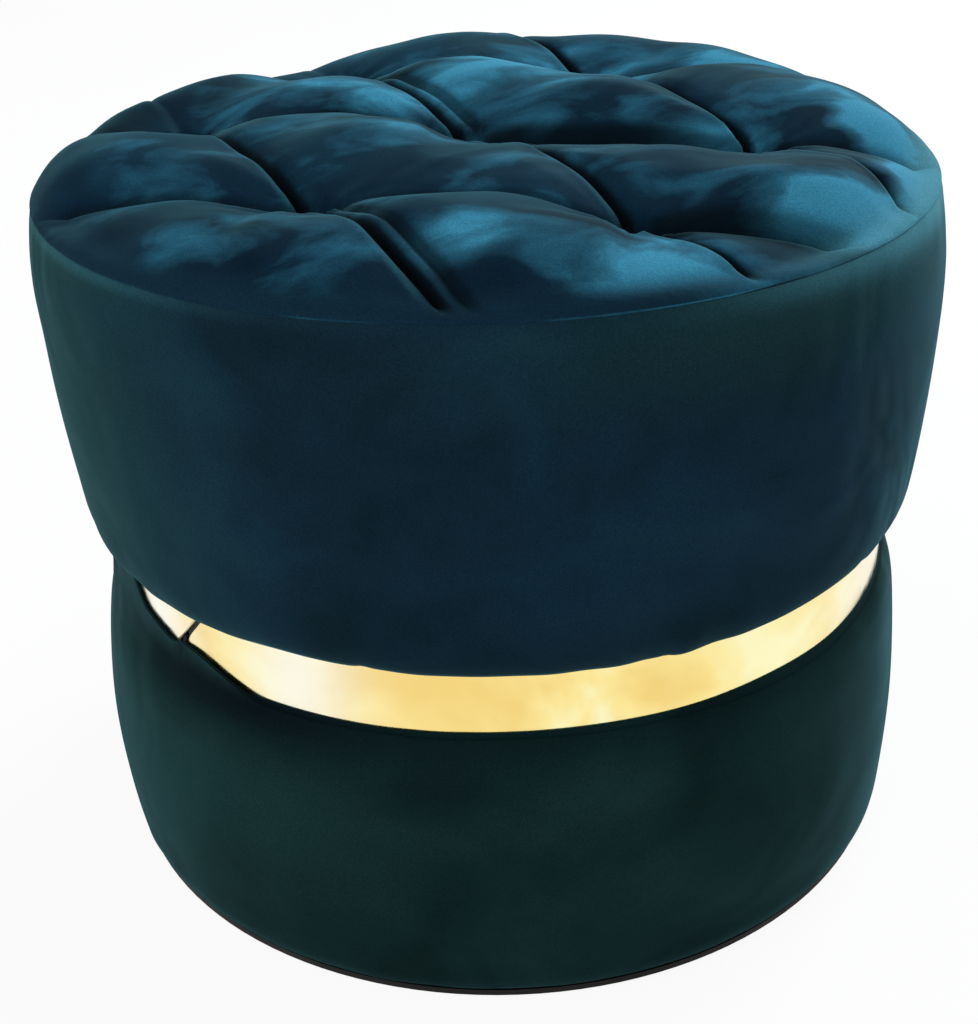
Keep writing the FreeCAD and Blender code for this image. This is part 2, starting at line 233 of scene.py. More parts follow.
dress(
    zinc_finish(), "zinc_steel",
    "base_plate_screws", "base_board_screws", "lid_board_screws", "floor_board_screws", "seat_board_screws",
    "lower_hem_staples", "lower_waist_staples", "upper_waist_staples",
    "waist_bolts", "waist_washers", "waist_nuts",
)


# Lower drum
# Foam wrapped round the lower cage under a strip of velvet, folded in and stapled under the base board
# and at the waist. It swells in the middle and draws in at the waist, where small gathers show.
MM = 0.001
frame_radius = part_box("base_board")[1].x / MM
waist_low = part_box("lower_wall")[1].z / MM
waist_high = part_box("upper_wall")[0].z / MM
hem_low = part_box("lower_cover")[0].z / MM
velvet_thickness = 1.5
skin_clearance = 0.15
tail_height = 13.0
hem_width = 22.0
columns_round = 480


def through(points, step):
    """A smooth line through a few points, as closely spaced points a step apart."""
    points = np.array(points, float)
    padded = np.vstack([2 * points[0] - points[1], points, 2 * points[-1] - points[-2]])
    line = []
    for p0, p1, p2, p3 in zip(padded, padded[1:], padded[2:], padded[3:]):
        count = max(2, int(np.linalg.norm(p2 - p1) / step))
        t = np.arange(count)[:, None] / count
        line.append(0.5 * (2 * p1 + (p2 - p0) * t + (2 * p0 - 5 * p1 + 4 * p2 - p3) * t ** 2
                           + (3 * p1 - p0 - 3 * p2 + p3) * t ** 3))
    return np.vstack(line + [points[-1:]])


def soft_waves(turn, height, seed, most_waves, wavelength):
    """Uneven swelling of about -1 to 1 round a drum: turn is the angle, height in millimetres."""
    dice = np.random.default_rng(seed)
    total = np.zeros(np.broadcast(turn, height).shape)
    for waves in range(2, most_waves):
        lean = dice.uniform(-1.5, 1.5)
        phase = dice.uniform(0, 2 * np.pi)
        strength = dice.uniform(0.4, 1.0)
        total += np.cos(waves * turn + lean * 2 * np.pi * height / wavelength + phase) * strength
    return total / math.sqrt(most_waves)


def ease(value, start, end):
    """0 before start, 1 after end, and a smooth step between them."""
    t = np.clip((value - start) / (end - start), 0, 1)
    return t * t * (3 - 2 * t)


def make_piece(name, points, faces, material, slot):
    """A smooth-shaded piece from points in millimetres, riding on the stool."""
    mesh = bpy.data.meshes.new(name)
    mesh.from_pydata([tuple(p) for p in np.asarray(points) * MM], [], faces)
    mesh.polygons.foreach_set("use_smooth", [True] * len(mesh.polygons))
    mesh.materials.append(material)
    mesh.validate()
    mesh.update()
    piece = bpy.data.objects.new(name, mesh)
    bpy.context.scene.collection.objects.link(piece)
    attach(piece, "root")
    return piece


def set_looks(piece, looks):
    """Named values at the first points of a mesh, which its finish reads."""
    for look, values in looks.items():
        attribute = piece.data.attributes.new(look, "FLOAT", "POINT")
        spread = np.zeros(len(piece.data.vertices), np.float32)
        spread[:len(values)] = values
        attribute.data.foreach_set("value", spread)


def painted_light_round(piece, strokes):
    """Painted light at each point from soft spots round the axis: angle, height, half sizes, strength."""
    places = np.array([tuple(v.co) for v in piece.data.vertices]) / MM
    turn = np.degrees(np.arctan2(places[:, 0], -places[:, 1]))
    painted_light = np.zeros(len(places))
    for angle, height, half_angle, half_height, strength in strokes:
        off = ((turn - angle) / half_angle) ** 2 + ((places[:, 2] - height) / half_height) ** 2
        painted_light += strength * np.exp(-off)
    return np.clip(painted_light, 0, 1)


def drum_mesh(outline, push):
    """Points and faces of an outline carried round the axis: push moves each point outwards and up."""
    turn = np.linspace(-np.pi, np.pi, columns_round, endpoint=False)[:, None]
    radius = outline[None, :, 0]
    height = outline[None, :, 1]
    out, up = push(turn, radius, height)
    radius = radius + out
    height = height + up
    points = np.stack([radius * np.sin(turn), -radius * np.cos(turn), height], -1)
    rows = outline.shape[0]
    faces = []
    for column in range(columns_round):
        here = column * rows
        there = (column + 1) % columns_round * rows
        for row in range(rows):
            above = (row + 1) % rows
            faces.append((here + row, there + row, there + above, here + above))
    return points.reshape(-1, 3), faces


# Velvet tones: the upper drum's own side tone, painted sheen on the drums, painted shade on the drums, a
# painted highlight at the rim, painted sheen on the seat, a painted highlight on fold lips and painted
# shade in the seat's folds and pits.
upper_side_tone = (0.0055, 0.0238, 0.0435)
side_sheen_tone = (0.011, 0.044, 0.046)
drum_shade_tone = (0.0022, 0.0068, 0.0095)
lit_rim_tone = (0.07, 0.25, 0.32)
seat_sheen_tone = (0.042, 0.25, 0.4)
lip_highlight_tone = (0.03, 0.14, 0.19)
fold_shade_tone = (0.0012, 0.004, 0.007)


def velvet_finish(name, deep, middle, light, seat_sheen_and_shade=False):
    """Cut-pile velvet: the nap lies in broad patches that look darker or lighter, with fine pile all over.

    The mesh says where painted sheen lies on the nap and where a painted highlight lies at the rim. On
    the seat it also says where painted shade fills the folds, pits and a few dark spots, where a painted
    highlight lies on the fold lips and where painted shade falls as the cloth turns down the side, and on
    the drums where painted shade lies.
    """
    material, tree, shader, place = start_finish(name)
    patches = clouds(tree, place, 95.0, detail=2.0, distortion=0.9)
    strokes = clouds(tree, place, 30.0, (1.5, 0.85, 1.0), detail=4.0, distortion=0.5)
    pile = clouds(tree, place, 0.8, detail=2.0)
    nap = blend_colours(tree, 0.3, patches, strokes)
    colour = tones(tree, nap, (0.34, deep), (0.52, middle), (0.7, light))

    def mesh_value(name):
        node = tree.nodes.new("ShaderNodeAttribute")
        node.attribute_name = name
        return node.outputs["Fac"]

    # The seat: painted sheen where the nap spots and noise pass a level, a painted highlight on fold lips,
    # painted shade where the cloth turns down the side, and painted shade in folds and pits.
    if seat_sheen_and_shade:
        painted_light = tree.nodes.new("ShaderNodeMath")
        painted_light.operation = "MULTIPLY_ADD"
        tree.links.new(strokes, painted_light.inputs[0])
        painted_light.inputs[1].default_value = 1.1
        tree.links.new(mesh_value("nap_sheen"), painted_light.inputs[2])
        lit = tones(tree, painted_light.outputs["Value"], (0.6, grey(0.0)), (0.85, grey(0.4)), (1.0, grey(1.0)))
        colour = blend_colours(tree, lit, colour, seat_sheen_tone)
        colour = blend_colours(tree, mesh_value("lip_highlight"), colour, lip_highlight_tone)
        colour = blend_colours(tree, mesh_value("side_shade"), colour, upper_side_tone)
        colour = blend_colours(tree, mesh_value("fold_shade"), colour, fold_shade_tone)
    # The drums: painted sheen, then painted shade.
    else:
        colour = blend_colours(tree, mesh_value("nap_sheen"), colour, side_sheen_tone)
        colour = blend_colours(tree, mesh_value("drum_shade"), colour, drum_shade_tone)
    # A painted highlight at the rim, on the seat and on the upper drum.
    colour = blend_colours(tree, mesh_value("rim_highlight"), colour, lit_rim_tone)
    speckled = tones(tree, pile, (0.3, grey(0.82)), (0.7, grey(1.18)))
    colour = blend_colours(tree, 1.0, colour, speckled, "MULTIPLY")
    tree.links.new(colour, shader.inputs["Base Color"])
    leaning = relief(tree, patches, 5.0)
    tree.links.new(relief(tree, pile, 0.08, leaning), shader.inputs["Normal"])
    shader.inputs["Roughness"].default_value = 0.85
    shader.inputs["Specular IOR Level"].default_value = 0.03
    shader.inputs["Sheen Weight"].default_value = 0.22
    shader.inputs["Sheen Roughness"].default_value = 0.35
    shader.inputs["Sheen Tint"].default_value = (0.2, 0.62, 0.72, 1.0)
    return material


band_joint_turn = math.radians(-46.3)
most_covered = 29.0


def seen_front(turn):
    """1 round the front and 0 round the back."""
    return 1 - ease(np.abs(np.degrees(turn)), 75.0, 120.0)


def shoulder_drop(turn):
    """How far the drum's upper edge sags below the boards, most on the right: the band fills the gap."""
    degrees = np.degrees(turn)
    return (3.0 + 3.8 * np.exp(-((degrees - 46.0) / 24.0) ** 2)) * seen_front(turn)


def band_trim(turn):
    """How far velvet covers the band from below: more towards the joint, and left of it nearly all."""
    degrees = np.degrees(turn)
    right_of_joint = 12.0 * (1 - ease(degrees, -47.0, -31.0))
    at_joint = 4.5 * np.exp(-((degrees + 47.2) / 1.8) ** 2)
    taper = 8.0 + at_joint + 0.7 * np.maximum(-48.0 - degrees, 0) + 13.0 * ease(-degrees, 57.0, 62.5)
    left_of_joint = np.minimum(taper, most_covered) * (1 - ease(-degrees, 78.0, 108.0))
    return np.where(degrees > 0, 0.0, np.where(turn > band_joint_turn, right_of_joint, left_of_joint))


lower_velvet = velvet_finish(
    "velvet_lower", (0.0038, 0.0148, 0.0155), (0.0056, 0.0225, 0.0235), (0.0085, 0.032, 0.0335))
lower_face = through([
    (frame_radius + 7.5, hem_low),
    (frame_radius + 11.0, hem_low + 2.6),
    (frame_radius + 12.8, hem_low + 9.0),
    (frame_radius + 15.6, hem_low + 45.0),
    (frame_radius + 15.6, waist_low - 62.0),
    (frame_radius + 12.6, waist_low - 26.0),
    (frame_radius + 9.0, waist_low - 6.5),
    (frame_radius + 5.8, waist_low - 0.6),
], 3.0)
lower_tuck = np.array([
    (frame_radius + 5.0, waist_low + 0.1),
    (frame_radius + 4.4, waist_low + 0.3),
    (frame_radius + 3.8, waist_low + 0.1),
    (frame_radius + 3.7, waist_low - 1.0),
])
lower_inside = np.array([
    (frame_radius + velvet_thickness, waist_low),
    (frame_radius + velvet_thickness, waist_low + tail_height),
    (frame_radius + skin_clearance, waist_low + tail_height),
    (frame_radius + skin_clearance, hem_low + velvet_thickness - skin_clearance),
    (frame_radius - hem_width, hem_low + velvet_thickness - skin_clearance),
    (frame_radius - hem_width, hem_low),
])
lower_outline = np.vstack([lower_face, lower_tuck, lower_inside])
tuck_first = len(lower_face) - 2
tuck_last = len(lower_face) + len(lower_tuck) - 1


def lower_push(turn, radius, height):
    """Uneven swelling, gathers and sag at the waist, and the velvet that creeps up over the band."""
    on_face = np.zeros(radius.shape)
    on_face[:, 2:len(lower_face)] = 1.0
    near_waist = ease(height, waist_low - 30.0, waist_low)
    near_foot = 1 - ease(height, hem_low + 2.0, hem_low + 22.0)
    swell = 0.7 * soft_waves(turn, height, 11, 9, 260.0) * (1 - near_waist) * (1 - 0.7 * near_foot)
    gathers = 0.45 * soft_waves(turn, height * 0.3, 12, 64, 90.0) * near_waist
    hem = 0.25 * soft_waves(turn, height * 0.0, 13, 40, 90.0) * near_foot
    sunk = 2.0 * np.exp(-((np.degrees(turn) + 48.0) / 24.0) ** 2) * near_waist
    out = on_face * (swell + gathers + hem - sunk)
    in_tuck = np.zeros(radius.shape)
    in_tuck[:, tuck_first:tuck_last] = [0.3] + [1.0] * (tuck_last - tuck_first - 1)
    covered = band_trim(turn)
    raised = covered + 1.2 * ease(covered, 0.0, 4.0) + 0.35 * soft_waves(turn, height * 0.0, 14, 30, 90.0)
    sagging = np.zeros(radius.shape)
    sagging[:, 2:tuck_last] = 1.0
    sagging = sagging * ease(height, waist_low - 45.0, waist_low)
    up = in_tuck * raised - sagging * shoulder_drop(turn)
    return out, up


lower_drum = make_piece("lower_drum_velvet", *drum_mesh(lower_outline, lower_push), lower_velvet, "velvet")
# Painted sheen on the left of the lower drum, and painted shade under the band at the front and down the
# right side.
set_looks(lower_drum, {
    "nap_sheen": painted_light_round(lower_drum, (
        (-76.0, 80.0, 28.0, 80.0, 0.9), (-32.0, 92.0, 24.0, 34.0, 0.45))),
    "drum_shade": painted_light_round(lower_drum, (
        (-42.0, 140.0, 24.0, 20.0, 0.8), (0.0, 138.0, 60.0, 12.0, 0.45), (64.0, 70.0, 20.0, 80.0, 0.45),
        (-8.0, 118.0, 9.0, 12.0, 0.55)))})
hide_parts("lower_cover", "lower_foam")


# Waist band
# A thin strip of polished gold-coloured steel, bent round the waist and stuck on with mounting tape.
# Its slanted ends butt at the front left, where velvet creeps up over the strip, and stand off a little.
band_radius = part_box("waist_band")[1].x / MM
band_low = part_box("waist_band")[0].z / MM
band_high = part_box("waist_band")[1].z / MM
band_thickness = 1.0
band_gap = 3.4
band_bow = 0.35
band_rows = 12
band_edge_round = 0.3
end_lift = 0.3
end_lift_length = 14.0
end_slant = 0.9
end_slant_length = 26.0


def gold_finish():
    """Thin gold coating on polished steel, with faint brushing along the strip and soft smudges."""
    material, tree, shader, place = start_finish("gold_metal")
    tarnish = clouds(tree, place, 70.0, detail=3.0, distortion=0.8)
    brushing = clouds(tree, place, 1.4, (30.0, 30.0, 1.0), detail=3.0)
    smudges = clouds(tree, place, 14.0, detail=5.0, distortion=1.0)
    colour = tones(
        tree, tarnish, (0.34, (0.93, 0.68, 0.22)), (0.5, (1.0, 0.82, 0.33)), (0.64, (1.0, 0.95, 0.55)))
    # Pale, nearly white patches where the mesh says so: a painted reflection on the gold.
    reflection_spots = tree.nodes.new("ShaderNodeAttribute")
    reflection_spots.attribute_name = "pale_reflection"
    colour = blend_colours(tree, reflection_spots.outputs["Fac"], colour, (1.0, 0.98, 0.84))
    tree.links.new(colour, shader.inputs["Base Color"])
    tree.links.new(tones(tree, smudges, (0.35, grey(0.14)), (0.7, grey(0.26))), shader.inputs["Roughness"])
    tree.links.new(relief(tree, brushing, 0.012), shader.inputs["Normal"])
    shader.inputs["Metallic"].default_value = 1.0
    return material


def tape_finish():
    material, tree, shader, place = start_finish("tape")
    cells = clouds(tree, place, 0.9, detail=3.0)
    tree.links.new(tones(tree, cells, (0.3, grey(0.012)), (0.7, grey(0.03))), shader.inputs["Base Color"])
    tree.links.new(relief(tree, cells, 0.1), shader.inputs["Normal"])
    shader.inputs["Roughness"].default_value = 0.9
    return material


def band_mesh():
    """A strip with rounded edges, open at the joint, carried round the waist."""
    half_gap = band_gap / 2 / band_radius
    turns = np.linspace(band_joint_turn + half_gap, band_joint_turn + 2 * np.pi - half_gap, columns_round)
    share = np.linspace(0, 1, band_rows)
    points = []
    for turn in turns:
        wrapped = (turn + np.pi) % (2 * np.pi) - np.pi
        to_end = min(turn - turns[0], turns[-1] - turn) * band_radius
        low = band_low - float(shoulder_drop(np.array(wrapped)))
        lift = end_lift * (1 - ease(to_end, 0.0, end_lift_length))
        wave = 0.2 * float(soft_waves(np.array(wrapped), np.array(0.0), 21, 18, 90.0))
        face = band_radius - band_bow + band_bow * (1 - (2 * share - 1) ** 2) + lift + wave
        height = low + (band_high - low) * share
        slant = end_slant * (1 - ease(to_end, 0.0, end_slant_length))
        outer = np.stack([face, height], -1)
        outer[0] += (-band_edge_round, 0.0)
        outer[-1] += (-band_edge_round, 0.0)
        inner = np.stack([face - band_thickness, height], -1)[::-1]
        section = np.vstack([outer, inner])
        leaning = turn + slant * (section[:, 1] - (band_low + band_high) / 2) / band_radius
        points.append(np.stack([
            section[:, 0] * np.sin(leaning), -section[:, 0] * np.cos(leaning), section[:, 1]], -1))
    rows = 2 * band_rows
    faces = [tuple(range(rows))[::-1], tuple(range((columns_round - 1) * rows, columns_round * rows))]
    for column in range(columns_round - 1):
        for row in range(rows):
            above = (row + 1) % rows
            here = column * rows
            faces.append((here + row, here + rows + row, here + rows + above, here + above))
    return np.vstack(points), faces


gold_band = make_piece("gold_waist_band", *band_mesh(), gold_finish(), "gold_metal")
# Painted reflection: three pale patches round the band, two on the front left and one on the right.
set_looks(gold_band, {"pale_reflection": painted_light_round(gold_band, (
    (-27.0, 158.0, 8.0, 60.0, 0.9), (-54.0, 158.0, 9.0, 60.0, 1.0), (64.0, 158.0, 14.0, 60.0, 0.7)))})
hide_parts("waist_band")
dress(tape_finish(), "tape", "band_tape")


# Upper drum
# Foam and velvet round the upper cage, a little wider than the lower drum. The velvet is stapled behind
# the band, rolls over a soft lip and is sewn to the seat cover at the rim.
seam_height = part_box("seat_cover")[0].z / MM
board_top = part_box("seat_board")[1].z / MM
seam_padding = 16.5
seam_radius = frame_radius + seam_padding
seam_roll = 0.35
lip_notches = (-17.0, 20.0, 54.0)
upper_face = through([
    (frame_radius + 3.4, waist_high + 0.3),
    (frame_radius + 7.4, waist_high + 0.7),
    (frame_radius + 12.4, waist_high + 8.0),
    (frame_radius + 15.8, waist_high + 22.0),
    (frame_radius + 19.6, waist_high + 66.0),
    (frame_radius + 21.3, waist_high + 112.0),
    (frame_radius + 20.3, seam_height - 22.0),
    (seam_radius + 1.5, seam_height - 6.0),
    (seam_radius + 0.2, seam_height - 0.8),
    (seam_radius - seam_roll, seam_height),
], 3.0)
upper_inside = np.array([
    (seam_radius - 2.4, seam_height - 2.4),
    (frame_radius + 18.6, board_top + skin_clearance),
    (frame_radius + skin_clearance, board_top),
    (frame_radius + skin_clearance, waist_high + skin_clearance),
    (frame_radius + skin_clearance, waist_high - tail_height),
    (frame_radius + velvet_thickness, waist_high - tail_height),
    (frame_radius + velvet_thickness, waist_high - 0.2),
])
upper_outline = np.vstack([upper_face, upper_inside])


def rim_lean(to_right):
    """How far the rim stands out: the padding is fuller on the left side than on the right."""
    return 0.4 - 1.7 * to_right


def upper_push(turn, radius, height):
    """Uneven swelling, an uneven lip at the waist and the join of the velvet strip at the back."""
    on_face = np.zeros(radius.shape)
    on_face[:, 1:len(upper_face)] = 1.0
    near_lip = 1 - ease(height, waist_high + 4.0, waist_high + 32.0)
    near_seam = ease(height, seam_height - 18.0, seam_height)
    swell = 0.8 * soft_waves(turn, height, 31, 9, 280.0) * (1 - near_lip) * (1 - near_seam)
    gathers = 0.4 * soft_waves(turn, height * 0.3, 32, 56, 90.0) * near_lip
    at_edge = ease(height, seam_height - 5.0, seam_height - 1.0)
    puckers = 0.3 * soft_waves(turn, height * 0.2, 33, 60, 90.0) * near_seam * (1 - at_edge)
    from_join = np.abs(np.abs(turn) - np.pi) * radius
    join = -1.4 * np.exp(-(from_join / 1.6) ** 2)
    lean = rim_lean(np.sin(turn)) * ease(height, seam_height - 60.0, seam_height - 8.0)
    out = on_face * (swell + gathers + puckers + join + lean)
    hanging = (2.6 - 1.6 * np.exp(-((np.degrees(turn) + 25.0) / 14.0) ** 2)) * seen_front(turn)
    uneven = 0.4 * soft_waves(turn, height * 0.0, 34, 46, 90.0)
    notches = sum(0.7 * np.exp(-((np.degrees(turn) - spot) / 0.9) ** 2) for spot in lip_notches)
    up = on_face * near_lip * (uneven + notches - hanging)
    return out, up


upper_velvet = velvet_finish(
    "velvet_upper", (0.0036, 0.0145, 0.0245), upper_side_tone, (0.0075, 0.033, 0.052))
upper_drum = make_piece("upper_drum_velvet", *drum_mesh(upper_outline, upper_push), upper_velvet, "velvet")
# Painted sheen on the left and the front right, a painted highlight just below the seam, and painted shade
# on the front left and low on the right front.
set_looks(upper_drum, {
    "nap_sheen": painted_light_round(upper_drum, (
        (-67.0, 250.0, 25.0, 150.0, 0.95), (-72.0, 324.0, 28.0, 4.0, 0.4), (38.0, 314.0, 36.0, 24.0, 0.6))),
    "rim_highlight": painted_light_round(upper_drum, (
        (62.0, 327.0, 15.0, 9.0, 0.9), (84.0, 324.0, 12.0, 16.0, 0.45), (40.0, 328.0, 14.0, 7.0, 0.4),
        (-58.0, 327.0, 22.0, 2.2, 0.25))),
    "drum_shade": painted_light_round(upper_drum, (
        (-24.0, 272.0, 7.0, 16.0, 0.45), (-22.0, 318.0, 12.0, 14.0, 0.5),
        (30.0, 184.0, 44.0, 20.0, 0.35)))})
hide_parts("upper_cover", "upper_foam")


# Tufted seat
# A round of velvet over thick foam, drawn down by seven buttons on a slanted grid. Between the buttons
# the spare cloth is folded into pleats, the slanted ones tucked sharply under, and it swells into puffs.
crown_rise = 2.5
crown_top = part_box("seat_cover")[1].z / MM + crown_rise
crown_fall = 3.5
rim_width = 60.0
crown_edge = seam_radius - rim_width
rim_drop = 12.5
rim_base = seam_height - rim_drop
rim_zone = 60.0
seam_zone = 12.0
row_pitch = 135.0
row_angle = math.radians(-11)
slant_pitch = 145.0
slant_angle = math.radians(-62)
pattern_offset = -10.0
tuft_depth = 16.0
tuft_reach = 62.0
pit_depth = 9.0
pit_radius = 4.0
pit_wall = 6.5
puff_swell = 1.8
fold_reach = 42.0
pleat_depth = 5.5
pleat_half_width = 2.0
second_pleat = 9.2


def crown_profile():
    """Distance over the cloth from the middle, radius and height there: a low dome, then a round rim."""
    dome = np.linspace(0, crown_edge, 90)
    dome_height = crown_top - crown_fall * (dome / crown_edge) ** 2
    rim_rise = crown_top - crown_fall - rim_base
    last_turn = math.acos((seam_height + 0.6 - rim_base) / rim_rise)
    round_turn = np.linspace(0, last_turn, 60)[1:]
    rim = crown_edge + (seam_radius - crown_edge) * np.sin(round_turn) / math.sin(last_turn)
    rim_height = rim_base + rim_rise * np.cos(round_turn)
    radius = np.append(dome, rim)
    height = np.append(dome_height, rim_height)
    along = np.append(0.0, np.cumsum(np.hypot(np.diff(radius), np.diff(height))))
    return along, radius, height


profile_along, profile_radius, profile_height = crown_profile()
pattern_radius = profile_along[-1]
row_step = row_pitch * np.array([math.cos(row_angle), math.sin(row_angle)])
slant_step = slant_pitch * np.array([math.cos(slant_angle), math.sin(slant_angle)])
middle_tuft = np.array([pattern_offset, 0.0])
back_tufts = [middle_tuft - slant_step, middle_tuft - slant_step + row_step]
centre_tufts = [middle_tuft - row_step, middle_tuft, middle_tuft + row_step]
front_tufts = [middle_tuft + slant_step - row_step, middle_tuft + slant_step]
tufts = np.array(back_tufts + centre_tufts + front_tufts)

# Each fold runs from rim to rim through its tufts. After its first tuft and the step to the next come the
# values of its stretches: how deep it draws the seat, how sharp its pleat is and how sharp a second one.
# The last value is how far the pleat bends sideways in a step past its last tuft.
folds = [
    (back_tufts[0], row_step, (3.0, 7.0, 7.0), (0.0, 0.25, 0.2), (0.0, 0.0, 0.0), 0.0),
    (centre_tufts[0], row_step, (10.0, 8.5, 19.0, 13.0), (0.0, 0.5, 0.3, 0.2), (0.0, 0.0, 0.0, 0.0), 0.0),
    (front_tufts[0], row_step, (12.0, 6.0, 20.0), (0.2, 0.3, 0.4), (0.0, 0.0, 0.0), 0.0),
    (centre_tufts[0], slant_step, (0.0, 7.0, 6.0), (0.2, 1.0, 1.0), (0.0, 0.0, 0.6), 0.0),
    (back_tufts[0], slant_step, (1.0, 8.0, 7.0, 5.0), (0.1, 1.0, 1.0, 1.0), (0.0, 0.6, 0.0, 0.0), 26.0),
    (back_tufts[1], slant_step, (0.0, 8.0, 6.0), (1.0, 1.1, 1.1), (0.0, 0.0, 0.0), 17.0),
]
near_side_reach = 105.0

# Spots of painted sheen on the seat's nap, or with a strength below zero painted shade: middle, half
# length, half width, angle, strength.
nap_sheen_spots = [
    ((192.0, -60.0), 110.0, 22.0, -72.0, 0.8),
    ((182.0, -113.0), 50.0, 14.0, 58.0, 0.5),
    ((146.0, -122.0), 34.0, 17.0, 20.0, 0.95),
    ((97.0, -198.0), 42.0, 14.0, 25.0, 0.75),
    ((64.0, -184.0), 34.0, 20.0, 12.0, 0.65),
    ((-10.0, -166.0), 30.0, 18.0, 0.0, 0.42),
    ((-100.0, -160.0), 40.0, 18.0, 0.0, 0.22),
    ((-120.0, -62.0), 34.0, 16.0, 0.0, 0.25),
    ((-32.0, -46.0), 26.0, 12.0, -10.0, 0.4),
    ((110.0, -20.0), 26.0, 18.0, -5.0, 0.5),
    ((25.0, 8.0), 46.0, 12.0, 0.0, 0.2),
    ((-60.0, 36.0), 36.0, 18.0, -25.0, 0.4),
    ((-92.0, 68.0), 26.0, 16.0, -20.0, 0.25),
    ((-2.0, 46.0), 44.0, 16.0, 0.0, 0.4),
    ((30.0, 88.0), 50.0, 32.0, 10.0, 0.6),
    ((122.0, 98.0), 26.0, 18.0, -25.0, 0.5),
    ((158.0, -42.0), 30.0, 16.0, -15.0, -0.6),
    ((125.0, -90.0), 36.0, 10.0, 5.0, -0.3),
    ((-116.0, -116.0), 40.0, 12.0, 0.0, -0.25),
    ((-185.0, 20.0), 75.0, 26.0, 80.0, -0.65),
]


def fold_place(flat, start, step, last, bend):
    """How far along a fold each point lies, in steps from its first tuft, and how far to the side of it."""
    length = np.hypot(*step)
    along = step / length
    across = np.array([-along[1], along[0]])
    place = (flat - start) @ along / length
    return place, (flat - start) @ across - bend * np.maximum(place - last, 0)


def on_stretches(values, place):
    """A fold's value along it: even over each stretch, and blended into the next one at the tuft."""
    ends = [end for k in range(len(values)) for end in (k - 0.88, k - 0.12)]
    return np.interp(place, ends, np.repeat(values, 2))


def pattern_points():
    """Points over the flat round of velvet, laid in rows along every fold so that its edges stay sharp."""
    kept = []
    taken = {}
    cell = 0.8

    def add(point):
        key = (int(point[0] // cell), int(point[1] // cell))
        for i in (-1, 0, 1):
            for j in (-1, 0, 1):
                other = taken.get((key[0] + i, key[1] + j))
                if other is not None and np.hypot(*(point - other)) < cell:
                    return
        taken[key] = point
        kept.append(point)

    sides = [1.0, 2.0, 3.2, 4.8, 6.6, 8.2, 9.2, 10.2, 12.2]
    offsets = [0.0] + [sign * side for side in sides for sign in (1, -1)]
    for start, step, depths, *_, bend in folds[::-1]:
        length = np.hypot(*step)
        across = np.array([-step[1], step[0]]) / length
        for offset in offsets:
            for place in np.arange(-4.0, 4.0, 2.2 / length):
                aside = offset + bend * max(place - (len(depths) - 2), 0)
                point = start + step * place + across * aside
                if np.hypot(*point) < pattern_radius - 0.8:
                    add(point)
    grid = 3.0
    lines = np.arange(-pattern_radius, pattern_radius, grid)
    spread = np.array([(x, y) for y in lines for x in lines])
    clear = np.hypot(spread[:, 0], spread[:, 1]) < pattern_radius - 1.5
    for start, step, depths, *_, bend in folds:
        _, away = fold_place(spread, start, step, len(depths) - 2, bend)
        clear &= np.abs(away) > sides[-1] + 1.2
    rim_turn = np.linspace(-np.pi, np.pi, columns_round, endpoint=False)
    rim = pattern_radius * np.stack([np.sin(rim_turn), -np.cos(rim_turn)], -1)
    return np.vstack([rim, np.array(kept), spread[clear]])


def seat_nap_sheen(flat):
    """Painted sheen over the flat velvet's nap, or below zero painted shade."""
    painted_light = np.zeros(len(flat))
    for (x, y), length, width, angle, strength in nap_sheen_spots:
        lean = math.radians(angle)
        dx = flat[:, 0] - x
        dy = flat[:, 1] - y
        u = (dx * math.cos(lean) + dy * math.sin(lean)) / length
        v = (-dx * math.sin(lean) + dy * math.cos(lean)) / width
        painted_light += strength * np.exp(-(u * u + v * v))
    return painted_light


